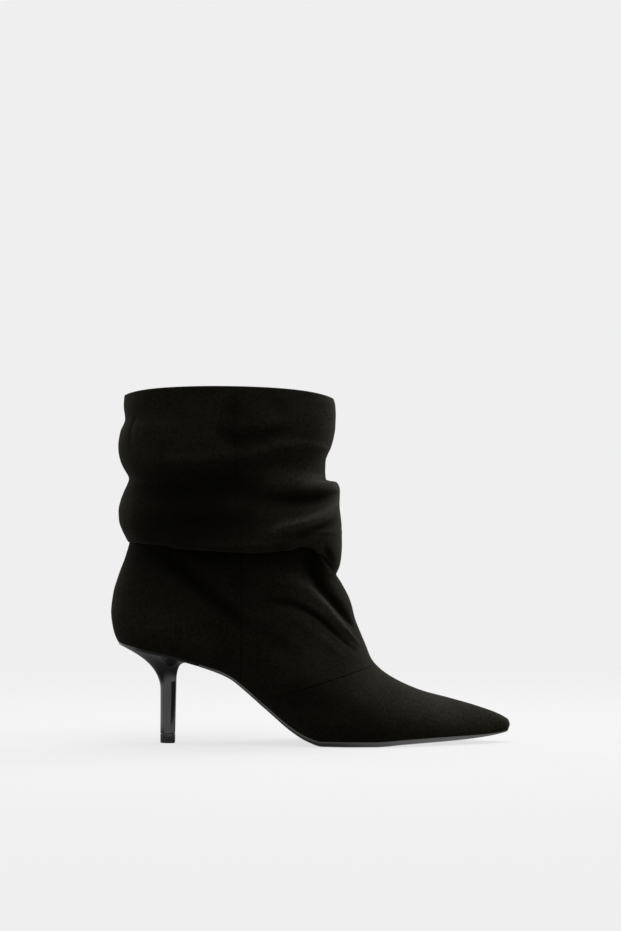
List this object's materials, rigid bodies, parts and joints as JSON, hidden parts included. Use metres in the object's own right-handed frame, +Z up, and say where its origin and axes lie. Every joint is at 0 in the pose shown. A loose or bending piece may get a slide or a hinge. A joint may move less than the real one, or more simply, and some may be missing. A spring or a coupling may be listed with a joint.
{
  "type": "slouch boot",
  "caption": "Right slouch ankle boot with a folded suede shaft, pointed toe and slim high heel, hollow and open at the collar.",
  "frame": {"origin": "on the floor, in the middle of the heel's top piece", "axes": "+X from the heel to the toe, +Y to the wearer's left, which is the inner side of this right boot, +Z up"},
  "size_m": [0.2503, 0.0884, 0.2217],
  "materials": {
    "suede": "black suede, matt with a short nap",
    "sock_lining": "smooth dark lining leather",
    "sole": "thin black sole with a polished edge",
    "heel_cover": "high gloss black",
    "top_piece": "satin black wear piece"
  },
  "bodies": {
    "root": {"upper": "suede", "insole": "sock_lining", "outsole": "sole", "heel": "heel_cover", "heel_tip": "top_piece"}
  },
  "joints": []
}
